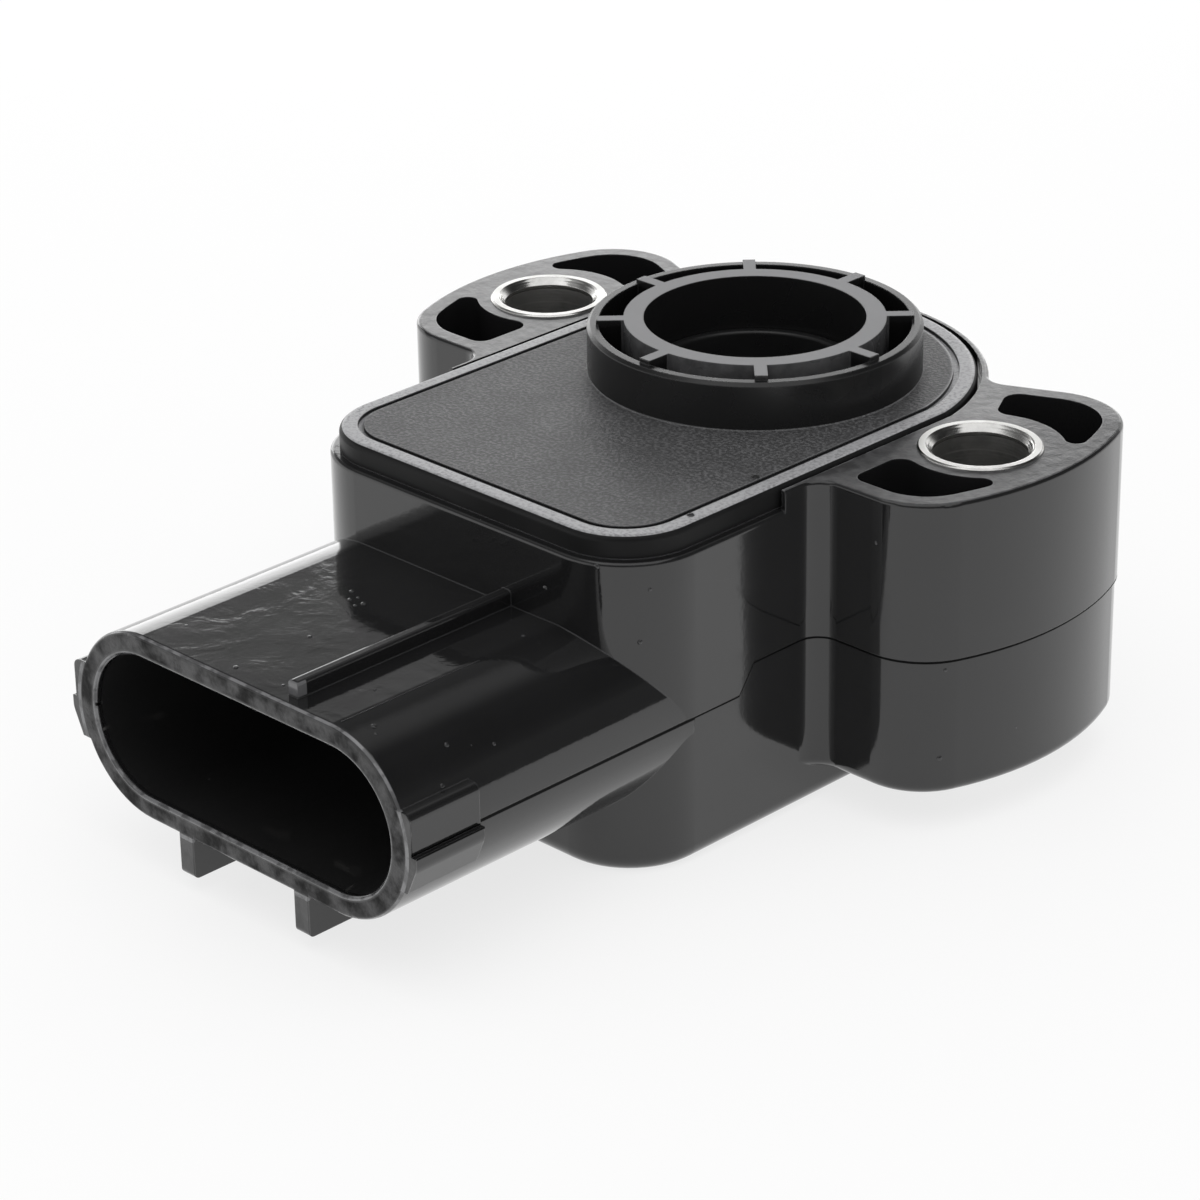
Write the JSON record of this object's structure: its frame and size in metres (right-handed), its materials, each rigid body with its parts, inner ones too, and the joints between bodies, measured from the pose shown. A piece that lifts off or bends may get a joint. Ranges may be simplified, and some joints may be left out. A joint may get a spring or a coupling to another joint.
{
  "type": "throttle position sensor",
  "caption": "Rotary throttle position sensor in a black moulded case, with a round pilot collar, two bushed mounting ears and a flat oval connector shroud.",
  "frame": {"origin": "on the pilot collar's axis, in the plane of the cover plate and of the two bushing faces", "axes": "+Z out of the pilot collar, towards the throttle body; -Y towards the connector; the two mounting ears lie along X"},
  "size_m": [0.0578, 0.069, 0.0298],
  "materials": {
    "housing_moulding": "moulded gloss",
    "cover_moulding": "fine spark-eroded grain",
    "steel": "turned, zinc plated",
    "rotor_moulding": "satin",
    "wiper_alloy": "rolled sheet",
    "spring_wire": "drawn wire",
    "rubber": "moulded",
    "sealant": "cured",
    "board": "laminate",
    "carbon_ink": "printed",
    "silver_ink": "printed",
    "tinned_brass": "tin plated",
    "solder": "bright"
  },
  "bodies": {
    "case": {"housing": "housing_moulding", "cover": "cover_moulding", "bushing_left": "steel", "bushing_right": "steel", "return_spring": "spring_wire", "disc_spring": "spring_wire", "rotor_seal": "rubber", "cover_seal": "sealant", "resistor_board": "board", "resistive_track": "carbon_ink", "trace_left": "silver_ink", "trace_right": "silver_ink", "collector_track": "carbon_ink", "terminal_left": "tinned_brass", "terminal_centre": "tinned_brass", "terminal_right": "tinned_brass", "solder_left": "solder", "solder_centre": "solder", "solder_right": "solder"},
    "rotor": {"rotor": "rotor_moulding", "wiper": "wiper_alloy"}
  },
  "joints": [
    {"name": "rotor_turn", "type": "hinge", "parent": "case", "child": "rotor", "pos_m": [0, 0, 0], "axis": [0, 0, 1], "range_deg": [0, 100], "stiffness_Nm_per_rad": 0.02, "springref_deg": -34.38, "deforming": ["return_spring"]}
  ]
}
